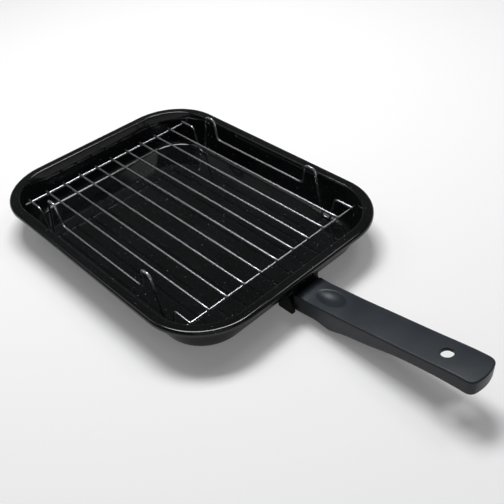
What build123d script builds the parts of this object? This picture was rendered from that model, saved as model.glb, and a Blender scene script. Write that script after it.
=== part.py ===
"""Grill pan: an enamelled dish, a bent-wire rack and a moulded handle that hooks on a keeper.

Millimetres, +Z up. The origin is the middle of the dish's underside, and the handle points to -Y.
"""
from build123d import *
from math import atan2, cos, sin, sqrt
import os

os.makedirs("parts", exist_ok=True)

# Clearances and the overrun of every cut
FIT_GAP = 0.05
REST_GAP = 0.3
OVERRUN = 2.0

# Dish: half sizes are measured from the middle to the outer face
SHEET = 1.2
RIM_HEIGHT = 45.0
RIM_HALF_X = 150.0
RIM_HALF_Y = 195.0
RIM_CORNER_RADIUS = 71.0
FLANGE_WIDTH = 12.0
LIP_DEPTH = 5.0
LIP_ROLL_RADIUS = 2.4
FLARE_RADIUS = 3.6
WALL_SPREAD_X = 11.2
WALL_SPREAD_Y = 14.2
CORNER_SPREAD = 14.0
FLOOR_FILLET = 5.5

# Rack: one wire size throughout, placed from the rim's height and the base's outline
WIRE_DIAMETER = 2.7
GRID_WIRES = 9
WELD_SINK = 0.3
WIRE_END_CHAMFER = 0.35
RACK_SINK = 9.15
RACK_SIDE_SETBACK = 8.0
CROSSBAR_SETBACK = 20.5
CROSSBAR_OVERHANG = 7.0
WIRE_OVERHANG = 3.0

# Leg wire: setbacks from the crossbar to the outer end of its foot, the foot's start and its loop
LOOP_RISE = 27.5
LEG_END_SETBACK = 23.0
FOOT_SETBACK = 42.2
FOOT_WIDTH = 11.4
LOOP_TOP_SETBACK = 68.5
LOOP_TOP_WIDTH = 13.8
LOOP_START_SETBACK = 74.0
RUN_BEND_RADIUS = 6.0
LOOP_BEND_RADIUS = 6.3
FOOT_BEND_RADIUS = 5.2

# Keeper: a bracket welded to the front wall, with two ears for a cross pin and two side guides
PIN_DIAMETER = 5.0
PIN_SETBACK = 8.6
PIN_DROP = 11.0
PIN_END_GAP = 1.0
PIN_END_CHAMFER = 0.6
EAR_PLACE_X = 10.0
EAR_THICKNESS = 2.0
EAR_MARGIN = 1.6
EAR_FOOT_RISE = 18.0
GUIDE_THICKNESS = 2.8
GUIDE_SIDE_GAP = 1.2
GUIDE_REACH = 2.5
GUIDE_TOP = 30.0
GUIDE_TOE_HEIGHT = 12.0
GUIDE_CORNER_RADIUS = 4.0
GUIDE_FLOOR_GAP = 0.8
BACK_PLATE_THICKNESS = 1.6
BACK_PLATE_WING = 21.5
BACK_PLATE_SHOULDER = 12.0
BACK_PLATE_CORNER = 4.0

# Claw: a bent steel strip that hooks over the pin and props the handle against the wall
CLAW_THICKNESS = 1.8
CLAW_SIDE_GAP = 0.5
HOOK_CLEARANCE = 0.25
HOOK_TAIL = 2.0
EAR_SLOT_GAP = 0.6
CLAW_BEND_RADIUS = 3.0
CLAW_FOOT_RISE = 6.5

# Grip: a moulded handle with a thumb dish, a finger stop and a hanging hole
GRIP_LENGTH = 203.5
GRIP_WIDTH = 37.0
GRIP_NOSE_TOP = 27.6
GRIP_NOSE_DEPTH = 23.8
GRIP_RISE = 27.2
GRIP_END_ARCH = 4.0
GRIP_END_CORNER = 8.0
GRIP_TOP_FILLET = 1.6
GRIP_UNDER_FILLET = 2.5
THUMB_LENGTH = 35.0
THUMB_WIDTH = 22.0
THUMB_DEPTH = 3.0
THUMB_EDGE_FILLET = 1.2
HOLE_DIAMETER = 12.0
HOLE_WEB = 4.2
HOLE_EDGE_FILLET = 0.8

# Hollow in the grip's underside: how far it runs from the hole, each way along the grip
HOLLOW_WIDTH = 27.0
HOLLOW_TO_TIP = 26.0
HOLLOW_TO_NOSE = 60.0
HOLLOW_CORNER = 9.0
HOLLOW_ROOF_FILLET = 1.5

# Stations along the grip: share of its length, of its rise and of its nose depth
GRIP_STATION_SHARES = (
    (0.0, 0.0, 1.0),
    (0.0777, 0.0, 0.918),
    (0.1525, 0.07, 0.943),
    (0.2213, 0.14, 1.076),
    (0.2902, 0.206, 0.968),
    (0.4368, 0.38, 0.836),
    (0.5864, 0.555, 0.667),
    (0.756, 0.765, 0.634),
    (0.9306, 0.967, 0.714),
    (1.0, 1.0, 0.743),
)
THUMB_PLACE_SHARE = 0.166
HOLE_PLACE_SHARE = 0.806

# Screws and the brass inserts that they turn into
SCREW_DIAMETER = 4.0
SCREW_LENGTH = 11.0
SCREW_HEAD_DIAMETER = 7.0
SCREW_HEAD_HEIGHT = 2.6
SCREW_HEAD_FILLET = 1.1
SCREW_SLOT_WIDTH = 1.0
SCREW_SLOT_DEPTH = 1.2
SCREW_PITCH = 10.4
SCREW_TOP_MARGIN = 10.0
INSERT_DIAMETER = 6.4
INSERT_LENGTH = 10.0
INSERT_GROOVE = 0.5

# Sizes that follow from the ones above
wire_radius = WIRE_DIAMETER / 2
neck_half_x = RIM_HALF_X - FLANGE_WIDTH
neck_half_y = RIM_HALF_Y - FLANGE_WIDTH
neck_corner_radius = RIM_CORNER_RADIUS - FLANGE_WIDTH
base_half_x = neck_half_x + SHEET - WALL_SPREAD_X
base_half_y = neck_half_y + SHEET - WALL_SPREAD_Y
base_corner_radius = neck_corner_radius + SHEET - CORNER_SPREAD
rack_z = RIM_HEIGHT - RACK_SINK
foot_z = SHEET + REST_GAP + wire_radius
crossbar_z = rack_z - WIRE_DIAMETER + WELD_SINK
side_wire_x = base_half_x - RACK_SIDE_SETBACK
wire_pitch = 2 * side_wire_x / (GRID_WIRES + 1)
crossbar_y = base_half_y - CROSSBAR_SETBACK
wire_half_length = crossbar_y + WIRE_OVERHANG
wall_lean = atan2(WALL_SPREAD_Y, RIM_HEIGHT)
pin_y = -(RIM_HALF_Y - PIN_SETBACK)
pin_z = RIM_HEIGHT - PIN_DROP
pin_radius = PIN_DIAMETER / 2
hook_inner_radius = pin_radius + HOOK_CLEARANCE
hook_middle_radius = hook_inner_radius + CLAW_THICKNESS / 2
nose_y = pin_y - hook_inner_radius - CLAW_THICKNESS
claw_half_width = GRIP_WIDTH / 2 - CLAW_SIDE_GAP
ear_radius = pin_radius + EAR_MARGIN
guide_inner_x = GRIP_WIDTH / 2 + GUIDE_SIDE_GAP
guide_outer_x = guide_inner_x + GUIDE_THICKNESS
screw_z = GRIP_NOSE_TOP - SCREW_TOP_MARGIN
screw_places = [(-SCREW_PITCH / 2, screw_z), (SCREW_PITCH / 2, screw_z)]


def wall_y(height):
    """Y of the front wall's outer face at a height."""
    return -(base_half_y + height * WALL_SPREAD_Y / RIM_HEIGHT)


def facing_front(x, y, z):
    """Upright plane through a point, with its normal to -Y and its +X along the width."""
    return Plane(origin=(x, y, z), x_dir=(1, 0, 0), z_dir=(0, -1, 0))


def facing_right(x, y, z):
    """Upright plane through a point, with its normal to +X and its +X along the length."""
    return Plane(origin=(x, y, z), x_dir=(0, 1, 0), z_dir=(1, 0, 0))


def finish(builder, name):
    """Label a finished piece and write its file."""
    builder.part.label = name
    export_step(builder.part, f"parts/{name}.step")


# Dish: a drawn tray with leaning walls, a flat flange and a turned-down lip
with BuildPart() as dish_hollow:
    with BuildSketch(Plane.XY):
        RectangleRounded(2 * (base_half_x - SHEET), 2 * (base_half_y - SHEET), base_corner_radius - SHEET)
    with BuildSketch(Plane.XY.offset(RIM_HEIGHT)):
        RectangleRounded(2 * neck_half_x, 2 * neck_half_y, neck_corner_radius)
    loft(ruled=True)
    split(bisect_by=Plane.XY.offset(SHEET), keep=Keep.TOP)
    fillet(dish_hollow.faces().sort_by(Axis.Z)[0].edges(), FLOOR_FILLET)

with BuildPart() as flange_hollow:
    with BuildSketch(Plane.XY.offset(RIM_HEIGHT - LIP_DEPTH)):
        RectangleRounded(2 * (RIM_HALF_X - SHEET), 2 * (RIM_HALF_Y - SHEET), RIM_CORNER_RADIUS - SHEET)
    extrude(amount=LIP_DEPTH - SHEET)
    fillet(flange_hollow.faces().sort_by(Axis.Z)[-1].edges(), LIP_ROLL_RADIUS - SHEET)

with BuildPart() as dish_body:
    with BuildSketch(Plane.XY):
        RectangleRounded(2 * base_half_x, 2 * base_half_y, base_corner_radius)
    with BuildSketch(Plane.XY.offset(RIM_HEIGHT)):
        RectangleRounded(2 * (neck_half_x + SHEET), 2 * (neck_half_y + SHEET), neck_corner_radius + SHEET)
    loft(ruled=True)
    fillet(dish_body.faces().sort_by(Axis.Z)[0].edges(), FLOOR_FILLET + SHEET)

with BuildPart() as pan_dish:
    with BuildSketch(Plane.XY.offset(RIM_HEIGHT - LIP_DEPTH)):
        RectangleRounded(2 * RIM_HALF_X, 2 * RIM_HALF_Y, RIM_CORNER_RADIUS)
    extrude(amount=LIP_DEPTH)
    fillet(pan_dish.faces().sort_by(Axis.Z)[-1].edges(), LIP_ROLL_RADIUS)
    add(flange_hollow.part, mode=Mode.SUBTRACT)
    add(dish_body.part)
    under_bend = pan_dish.edges().filter_by_position(
        Axis.Z, RIM_HEIGHT - SHEET - FIT_GAP, RIM_HEIGHT - SHEET + FIT_GAP
    ).filter_by(lambda edge: abs(edge.center().X) < neck_half_x + FLARE_RADIUS
                and abs(edge.center().Y) < neck_half_y + FLARE_RADIUS)
    fillet(under_bend, FLARE_RADIUS - SHEET)
    add(dish_hollow.part, mode=Mode.SUBTRACT)
    top_bend = pan_dish.faces().sort_by(Axis.Z)[-1].inner_wires()[0].edges()
    fillet(top_bend, FLARE_RADIUS)
finish(pan_dish, "pan_dish")


# Rack: grid wires lie on two crossbars, each seated in a shallow weld notch
def straight_wire(plane, half_length):
    """A straight wire with bevelled ends, centred on a plane and running along its normal."""
    with BuildPart() as wire:
        with BuildSketch(plane):
            Circle(wire_radius)
        extrude(amount=half_length, both=True)
        chamfer(wire.edges().filter_by(GeomType.CIRCLE), WIRE_END_CHAMFER)
    return wire


def leg_wire(place_x):
    """A lengthwise wire whose ends rise in a loop, drop to a foot and come back to the run."""
    half = [
        (crossbar_y - LOOP_START_SETBACK, rack_z, RUN_BEND_RADIUS),
        (crossbar_y - LOOP_TOP_SETBACK, rack_z + LOOP_RISE, LOOP_BEND_RADIUS),
        (crossbar_y - LOOP_TOP_SETBACK + LOOP_TOP_WIDTH, rack_z + LOOP_RISE, LOOP_BEND_RADIUS),
        (crossbar_y - FOOT_SETBACK, foot_z, FOOT_BEND_RADIUS),
        (crossbar_y - FOOT_SETBACK + FOOT_WIDTH, foot_z, FOOT_BEND_RADIUS),
        (crossbar_y - LEG_END_SETBACK, rack_z, RUN_BEND_RADIUS),
    ]
    corners = [(-y, z, bend) for y, z, bend in reversed(half)] + half
    points = [(y, z) for y, z, bend in corners]
    points = [(-wire_half_length, rack_z)] + points + [(wire_half_length, rack_z)]
    with BuildPart() as wire:
        with BuildLine(Plane.YZ.offset(place_x)) as path:
            FilletPolyline(*points, radius=[bend for y, z, bend in corners])
        with BuildSketch(Plane(path.line @ 0, z_dir=path.line % 0)):
            Circle(wire_radius)
        sweep()
        ends = wire.edges().filter_by(GeomType.CIRCLE).sort_by(Axis.Y)
        chamfer([ends[0], ends[-1]], WIRE_END_CHAMFER)
    return wire


grid_wires = []
for number in range(1, GRID_WIRES + 1):
    wire_x = number * wire_pitch - side_wire_x
    grid_wires.append(straight_wire(facing_front(wire_x, 0, rack_z), wire_half_length))
    finish(grid_wires[-1], f"grid_wire_{number}")

left_leg_wire = leg_wire(-side_wire_x)
finish(left_leg_wire, "left_leg_wire")
right_leg_wire = leg_wire(side_wire_x)
finish(right_leg_wire, "right_leg_wire")

for name, place_y in (("front_crossbar", -crossbar_y), ("rear_crossbar", crossbar_y)):
    bar = straight_wire(facing_right(0, place_y, crossbar_z), side_wire_x + CROSSBAR_OVERHANG)
    with BuildPart() as crossbar:
        add(bar.part)
        for column in range(GRID_WIRES + 2):
            notch_x = column * wire_pitch - side_wire_x
            with BuildSketch(facing_front(notch_x, place_y, rack_z)):
                Circle(wire_radius)
            extrude(amount=WIRE_DIAMETER, both=True, mode=Mode.SUBTRACT)
    finish(crossbar, name)

# Keeper bracket: a plate welded flat on the leaning wall, two ears and two side guides
wall_plane = Plane(
    origin=(0, -base_half_y, 0),
    x_dir=(1, 0, 0),
    z_dir=(0, -cos(wall_lean), -sin(wall_lean)),
)
plate_top = GUIDE_TOP / cos(wall_lean)
plate_bottom = (FLOOR_FILLET + SHEET) / cos(wall_lean)
plate_half_width = guide_outer_x + BACK_PLATE_WING
guide_heel_y = wall_y(FLOOR_FILLET + SHEET)
guide_toe_y = nose_y - GUIDE_REACH

with BuildPart() as keeper_bracket:
    with BuildSketch(wall_plane) as plate_outline:
        with BuildLine():
            Polyline(
                (-guide_outer_x, plate_bottom),
                (guide_outer_x, plate_bottom),
                (plate_half_width, plate_bottom + BACK_PLATE_SHOULDER),
                (plate_half_width, plate_top),
                (-plate_half_width, plate_top),
                (-plate_half_width, plate_bottom + BACK_PLATE_SHOULDER),
                close=True,
            )
        make_face()
        fillet(plate_outline.vertices(), BACK_PLATE_CORNER)
    extrude(amount=BACK_PLATE_THICKNESS)
    for side in (-1, 1):
        with BuildSketch(Plane.YZ.offset(side * guide_inner_x)):
            with BuildLine():
                FilletPolyline(
                    (wall_y(GUIDE_TOP), GUIDE_TOP),
                    (guide_toe_y, GUIDE_TOE_HEIGHT),
                    (guide_toe_y, GUIDE_FLOOR_GAP),
                    (guide_heel_y, GUIDE_FLOOR_GAP),
                    (guide_heel_y, FLOOR_FILLET + SHEET),
                    radius=(0, GUIDE_CORNER_RADIUS, GUIDE_CORNER_RADIUS, 0, 0),
                    close=True,
                )
            make_face()
        extrude(amount=side * GUIDE_THICKNESS)
        with BuildSketch(Plane.YZ.offset(side * EAR_PLACE_X)):
            with BuildLine():
                Polyline(
                    (pin_y, pin_z + ear_radius),
                    (wall_y(pin_z + ear_radius), pin_z + ear_radius),
                    (wall_y(EAR_FOOT_RISE), EAR_FOOT_RISE),
                    (pin_y, pin_z - ear_radius),
                    close=True,
                )
            make_face()
            with Locations((pin_y, pin_z)):
                Circle(ear_radius)
        extrude(amount=EAR_THICKNESS / 2, both=True)
    with BuildSketch(Plane.YZ):
        with Locations((pin_y, pin_z)):
            Circle(pin_radius + FIT_GAP)
    extrude(amount=guide_outer_x, both=True, mode=Mode.SUBTRACT)
finish(keeper_bracket, "keeper_bracket")

# Keeper pin: a plain rod through both ears, as long as the claw is wide
with BuildPart() as keeper_pin:
    with BuildSketch(Plane.YZ):
        with Locations((pin_y, pin_z)):
            Circle(pin_radius)
    extrude(amount=claw_half_width - PIN_END_GAP, both=True)
    chamfer(keeper_pin.edges().filter_by(GeomType.CIRCLE), PIN_END_CHAMFER)
finish(keeper_pin, "keeper_pin")

# Claw: one bent strip, hooked over the pin in three tabs, down the handle's nose and in to the wall
leg_y = nose_y + CLAW_THICKNESS / 2
plate_face_y = wall_y(CLAW_FOOT_RISE + CLAW_THICKNESS) - BACK_PLATE_THICKNESS / cos(wall_lean)
slot_half_width = EAR_THICKNESS / 2 + EAR_SLOT_GAP
with BuildPart() as handle_claw:
    with BuildSketch(Plane.YZ):
        with BuildLine() as claw_path:
            tail = Line((pin_y + hook_middle_radius, pin_z - HOOK_TAIL), (pin_y + hook_middle_radius, pin_z))
            hook = TangentArc(tail @ 1, (pin_y - hook_middle_radius, pin_z), tangent=tail % 1)
            FilletPolyline(
                hook @ 1,
                (leg_y, CLAW_FOOT_RISE),
                (plate_face_y - REST_GAP, CLAW_FOOT_RISE),
                radius=CLAW_BEND_RADIUS,
            )
        trace(line_width=CLAW_THICKNESS)
    extrude(amount=claw_half_width, both=True)
    with BuildSketch(facing_front(0, pin_y, pin_z - ear_radius)):
        with Locations((-EAR_PLACE_X, 0), (EAR_PLACE_X, 0)):
            Rectangle(2 * slot_half_width, RIM_HEIGHT, align=(Align.CENTER, Align.MIN))
    extrude(amount=2 * ear_radius, both=True, mode=Mode.SUBTRACT)
    with BuildSketch(Plane.XZ.offset(-nose_y)):
        with Locations(*screw_places):
            Circle(SCREW_DIAMETER / 2 + FIT_GAP)
    extrude(amount=-CLAW_THICKNESS - OVERRUN, mode=Mode.SUBTRACT)
finish(handle_claw, "handle_claw")


# Grip: the side view cut out of the plan view, then rounded
def grip_station(shares, under):
    """Side-view point of the top line, or of the underside, at one station."""
    length_share, rise_share, depth_share = shares
    height = GRIP_NOSE_TOP + GRIP_RISE * rise_share
    if under:
        height -= GRIP_NOSE_DEPTH * depth_share
    return (nose_y - GRIP_LENGTH * length_share, height)


top_line = Spline(*[(0, *grip_station(shares, False)) for shares in GRIP_STATION_SHARES], mode=Mode.PRIVATE)


def plane_across(length_share):
    """Plane across the grip's top line: +X along the line to the tip, +Z up out of the grip."""
    along = top_line % length_share
    return Plane(origin=top_line @ length_share, x_dir=along, z_dir=Vector(1, 0, 0).cross(along) * -1)


# The thumb dish is a barrel laid along the grip: a bow turned about an axis above the surface
bow_radius = ((THUMB_LENGTH / 2) ** 2 + THUMB_DEPTH**2) / (2 * THUMB_DEPTH)
cross_radius = ((THUMB_WIDTH / 2) ** 2 + THUMB_DEPTH**2) / (2 * THUMB_DEPTH)
axis_height = cross_radius - THUMB_DEPTH
bow_half = sqrt(bow_radius**2 - (bow_radius - THUMB_DEPTH - OVERRUN) ** 2)
thumb_plane = plane_across(THUMB_PLACE_SHARE)
thumb_side = Plane(origin=thumb_plane.origin, x_dir=thumb_plane.x_dir, z_dir=(-1, 0, 0))
hole_plane = plane_across(HOLE_PLACE_SHARE)

with BuildPart() as handle_grip:
    with BuildSketch(Plane.YZ):
        with BuildLine():
            grip_top = Spline(*[grip_station(shares, False) for shares in GRIP_STATION_SHARES])
            grip_under = Spline(*[grip_station(shares, True) for shares in GRIP_STATION_SHARES])
            Line(grip_top @ 0, grip_under @ 0)
            Line(grip_top @ 1, grip_under @ 1)
        make_face()
    extrude(amount=GRIP_WIDTH, both=True)
    with BuildSketch(Plane.XY) as grip_plan:
        with BuildLine():
            end_y = nose_y - GRIP_LENGTH
            sides = Polyline(
                (-GRIP_WIDTH / 2, end_y + GRIP_END_ARCH),
                (-GRIP_WIDTH / 2, nose_y),
                (GRIP_WIDTH / 2, nose_y),
                (GRIP_WIDTH / 2, end_y + GRIP_END_ARCH),
            )
            ThreePointArc(sides @ 0, (0, end_y), sides @ 1)
        make_face()
        fillet(grip_plan.vertices().sort_by(Axis.Y)[:2], GRIP_END_CORNER)
    extrude(amount=GRIP_NOSE_TOP + 2 * GRIP_RISE, mode=Mode.INTERSECT)
    faces_by_size = handle_grip.faces().sort_by(SortBy.AREA)[-2:].sort_by(Axis.Z)
    nose_edges = handle_grip.faces().sort_by(Axis.Y)[-1].edges()
    fillet(faces_by_size[1].edges() - nose_edges, GRIP_TOP_FILLET)
    under_face = handle_grip.faces().sort_by(SortBy.AREA)[-2:].sort_by(Axis.Z)[0]
    nose_edges = handle_grip.faces().sort_by(Axis.Y)[-1].edges()
    fillet(under_face.edges() - nose_edges, GRIP_UNDER_FILLET)
    with BuildSketch(thumb_side):
        with BuildLine():
            bow = ThreePointArc((-bow_half, OVERRUN), (0, -THUMB_DEPTH), (bow_half, OVERRUN))
            Polyline(bow @ 0, (-bow_half, axis_height), (bow_half, axis_height), bow @ 1)
        make_face()
    axis_point = thumb_side.from_local_coords((0, axis_height, 0))
    revolve(axis=Axis(axis_point, thumb_side.x_dir), mode=Mode.SUBTRACT)
    fillet(handle_grip.edges(Select.LAST), THUMB_EDGE_FILLET)
    with BuildSketch(hole_plane.offset(-HOLE_WEB)):
        with Locations(((HOLLOW_TO_TIP - HOLLOW_TO_NOSE) / 2, 0)):
            RectangleRounded(HOLLOW_TO_TIP + HOLLOW_TO_NOSE, HOLLOW_WIDTH, HOLLOW_CORNER)
    extrude(amount=-GRIP_NOSE_DEPTH, mode=Mode.SUBTRACT)
    hollow_roof = handle_grip.faces(Select.LAST).filter_by(GeomType.PLANE).sort_by(SortBy.AREA)[-1]
    fillet(hollow_roof.edges(), HOLLOW_ROOF_FILLET)
    with BuildSketch(hole_plane):
        Circle(HOLE_DIAMETER / 2)
    extrude(amount=HOLE_WEB + OVERRUN, both=True, mode=Mode.SUBTRACT)
    hole_wall = handle_grip.faces(Select.LAST).filter_by(GeomType.CYLINDER)[0]
    fillet(hole_wall.edges().filter_by(GeomType.LINE, reverse=True), HOLE_EDGE_FILLET)
    with BuildSketch(Plane.XZ.offset(-nose_y)):
        with Locations(*screw_places):
            Circle(INSERT_DIAMETER / 2 + FIT_GAP)
    extrude(amount=INSERT_LENGTH + FIT_GAP, mode=Mode.SUBTRACT)
finish(handle_grip, "handle_grip")

# Screws and inserts: one pair beside the other on the middle of the nose
for name, (place_x, place_z) in zip(("left", "right"), screw_places):
    head_plane = facing_front(place_x, nose_y + CLAW_THICKNESS, place_z)
    with BuildPart() as screw:
        with BuildSketch(head_plane):
            Circle(SCREW_HEAD_DIAMETER / 2)
        extrude(amount=-SCREW_HEAD_HEIGHT)
        fillet(screw.edges().filter_by(GeomType.CIRCLE).sort_by(Axis.Y)[-1], SCREW_HEAD_FILLET)
        with BuildSketch(head_plane.offset(-SCREW_HEAD_HEIGHT)):
            Rectangle(SCREW_HEAD_DIAMETER, SCREW_SLOT_WIDTH)
        extrude(amount=SCREW_SLOT_DEPTH, mode=Mode.SUBTRACT)
        with BuildSketch(head_plane):
            Circle(SCREW_DIAMETER / 2)
        extrude(amount=SCREW_LENGTH)
    finish(screw, f"{name}_claw_screw")

    insert_plane = facing_front(place_x, nose_y, place_z)
    with BuildPart() as insert:
        with BuildSketch(insert_plane):
            Circle(INSERT_DIAMETER / 2)
        extrude(amount=INSERT_LENGTH)
        with BuildSketch(insert_plane.offset(INSERT_LENGTH / 2 - INSERT_GROOVE)):
            Circle(INSERT_DIAMETER / 2)
            Circle(INSERT_DIAMETER / 2 - INSERT_GROOVE, mode=Mode.SUBTRACT)
        extrude(amount=2 * INSERT_GROOVE, mode=Mode.SUBTRACT)
        with BuildSketch(insert_plane):
            Circle(SCREW_DIAMETER / 2 + FIT_GAP)
        extrude(amount=INSERT_LENGTH, mode=Mode.SUBTRACT)
    finish(insert, f"{name}_claw_insert")
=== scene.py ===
"""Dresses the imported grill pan: enamelled dish, chromed wire rack and moulded handle.

Every size is in metres in the row frame: +Z up, the handle towards -Y, the origin under the
middle of the dish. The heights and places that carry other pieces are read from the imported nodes.
"""
from __future__ import annotations

import logging
import math
from dataclasses import dataclass
from enum import Enum
from typing import Any, Sequence

import bpy
import numpy as np
from mathutils import Matrix, Vector


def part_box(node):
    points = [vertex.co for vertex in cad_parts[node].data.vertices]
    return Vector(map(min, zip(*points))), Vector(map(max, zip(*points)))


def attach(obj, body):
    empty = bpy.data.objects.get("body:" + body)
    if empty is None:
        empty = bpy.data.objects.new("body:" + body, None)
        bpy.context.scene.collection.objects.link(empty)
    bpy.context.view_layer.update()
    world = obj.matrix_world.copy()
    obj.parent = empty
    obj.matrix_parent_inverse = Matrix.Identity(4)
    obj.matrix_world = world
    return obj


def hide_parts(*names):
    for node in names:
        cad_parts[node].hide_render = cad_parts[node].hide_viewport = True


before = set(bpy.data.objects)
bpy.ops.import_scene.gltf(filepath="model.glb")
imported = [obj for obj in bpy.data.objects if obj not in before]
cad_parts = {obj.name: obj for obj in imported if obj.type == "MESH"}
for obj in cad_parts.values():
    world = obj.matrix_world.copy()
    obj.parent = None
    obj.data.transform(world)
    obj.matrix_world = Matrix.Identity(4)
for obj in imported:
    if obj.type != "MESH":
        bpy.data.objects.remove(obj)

LOG = logging.getLogger("grill_pan")
MM = 0.001
FULL_TURN = 2 * math.pi
QUARTER_TURN = math.pi / 2
Colour = tuple[float, float, float]
Face = tuple[int, ...]


class Body(Enum):
    """The rigid bodies that pieces ride on."""

    PAN = "pan"
    RACK = "rack"
    HANDLE = "handle"


class Slot(Enum):
    """The finishes that the record names."""

    ENAMEL = "black_enamel"
    WIRE = "chrome_wire"
    PLASTIC = "black_plastic"
    STEEL = "black_steel"
    PLATED = "plated_steel"
    BRASS = "brass_insert"


class Signal:
    """A shader socket that does arithmetic: each operator adds one Math node."""

    def __init__(self, shader: "Shader", socket: Any) -> None:
        """Wraps a socket.

        Args:
            shader: The node tree that the socket belongs to.
            socket: The output socket.
        """
        self.shader = shader
        self.socket = socket

    def _math(self, operation: str, *values: Any) -> "Signal":
        """One Math node on these values."""
        inputs = dict(enumerate(values))
        return self.shader.node("ShaderNodeMath", {"operation": operation}, inputs)["Value"]

    def __add__(self, other: Any) -> "Signal":
        """Sum."""
        return self._math("ADD", self, other)

    __radd__ = __add__

    def __mul__(self, other: Any) -> "Signal":
        """Product."""
        return self._math("MULTIPLY", self, other)

    def __sub__(self, other: Any) -> "Signal":
        """Difference."""
        return self._math("SUBTRACT", self, other)

    def __rsub__(self, other: Any) -> "Signal":
        """Difference the other way round."""
        return self._math("SUBTRACT", other, self)

    def __gt__(self, other: Any) -> "Signal":
        """1 where this signal is the larger, else 0."""
        return self._math("GREATER_THAN", self, other)

    def clamped(self) -> "Signal":
        """The signal held between 0 and 1."""
        return self._math("MINIMUM", self._math("MAXIMUM", self, 0.0), 1.0)

    def ramp(self, low: float, high: float) -> "Signal":
        """0 at low, 1 at high and a straight line between, held flat outside."""
        return ((self - low) * (1.0 / (high - low))).clamped()


class Outputs:
    """The outputs of one node, looked up by name."""

    def __init__(self, shader: "Shader", node: Any) -> None:
        """Keeps the tree and its node."""
        self.shader = shader
        self.node = node

    def __getitem__(self, name: Any) -> Signal:
        """The output of that name or number as a signal."""
        return Signal(self.shader, self.node.outputs[name])


class Shader:
    """A node tree whose nodes are added by one method."""

    def __init__(self, owner: Any, output: str) -> None:
        """Empties the owner's tree and adds its output.

        Args:
            owner: A new material or world.
            output: The type of its output node.
        """
        owner.use_nodes = True
        self.owner = owner
        self.tree = owner.node_tree
        self.tree.nodes.clear()
        self.output = self.tree.nodes.new(output)

    def node(self, kind: str, settings: dict[str, Any], inputs: dict[Any, Any]) -> Outputs:
        """Adds a node.

        Args:
            kind: The node's type.
            settings: Its attributes, set first.
            inputs: Values or signals for its sockets, by name or number.

        Returns:
            The node's outputs.
        """
        made = self.tree.nodes.new(kind)
        for key, value in settings.items():
            setattr(made, key, value)
        for key, value in inputs.items():
            self.feed(made.inputs[key], value)
        return Outputs(self, made)

    def feed(self, socket: Any, value: Any) -> None:
        """Links a signal to a socket, or sets the socket's value."""
        if isinstance(value, Signal):
            self.tree.links.new(value.socket, socket)
        else:
            socket.default_value = value

    def show(self, surface: Signal) -> None:
        """Sends a shader to the output."""
        self.feed(self.output.inputs["Surface"], surface)


@dataclass(frozen=True)
class Specks:
    """A scatter of dots: cells per metre, share of them with a dot, largest dot, crispness."""

    cells: float
    share: float
    size: float
    crispness: float


class Finish(Shader):
    """A material with one Principled surface."""

    def __init__(self, name: str) -> None:
        """Makes a material of that name with its surface already linked."""
        super().__init__(bpy.data.materials.new(name), "ShaderNodeOutputMaterial")
        made = self.node("ShaderNodeBsdfPrincipled", {}, {})
        self.surface = made.node
        self.show(made["BSDF"])

    def set(self, **values: Any) -> bpy.types.Material:
        """Sets or links the surface's sockets. An underscore in a name stands for a space.

        Returns:
            The material.
        """
        for name, value in values.items():
            self.feed(self.surface.inputs[name.replace("_", " ")], value)
        return self.owner

    def place(self) -> Signal:
        """The place on the object, in metres."""
        return self.node("ShaderNodeTexCoord", {}, {})["Object"]

    def noise(self, scale: float, detail: float) -> Signal:
        """Fractal noise from 0 to 1 at a scale per metre, with that many octaves of detail."""
        sockets = {"Vector": self.place(), "Scale": scale, "Detail": detail}
        return self.node("ShaderNodeTexNoise", {}, sockets)["Fac"]

    def specks(self, dots: Specks) -> Signal:
        """1 on scattered dots, 0 between them.

        Dots are Voronoi cells: a cell holds one where its random value is under the share, and the
        dot is the part of the cell nearer to its point than a size that varies from cell to cell.

        Args:
            dots: How many dots there are, how large, and how sharply they end.

        Returns:
            The mask.
        """
        sockets = {"Vector": self.place(), "Scale": dots.cells}
        found = self.node("ShaderNodeTexVoronoi", {}, sockets)
        chance = self.node("ShaderNodeSeparateColor", {}, {"Color": found["Color"]})
        dot = ((chance["Green"] * dots.size - found["Distance"]) * dots.crispness).clamped()
        return dot * ((dots.share - chance["Red"]) > 0.0)

    def blend(self, mask: Signal, low: Any, high: Any) -> Signal:
        """A colour that goes from low to high as the mask goes from 0 to 1."""
        ends = [end if isinstance(end, Signal) else (*end, 1.0) for end in (low, high)]
        sockets = {0: mask, 6: ends[0], 7: ends[1]}
        return self.node("ShaderNodeMix", {"data_type": "RGBA"}, sockets)[2]

    def bump(self, height: Signal, distance: float, under: Signal | None = None) -> Signal:
        """A normal tilted by a height signal that stands for a distance in metres."""
        sockets = {"Height": height, "Distance": distance}
        if under is not None:
            sockets["Normal"] = under
        return self.node("ShaderNodeBump", {}, sockets)["Normal"]


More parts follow.
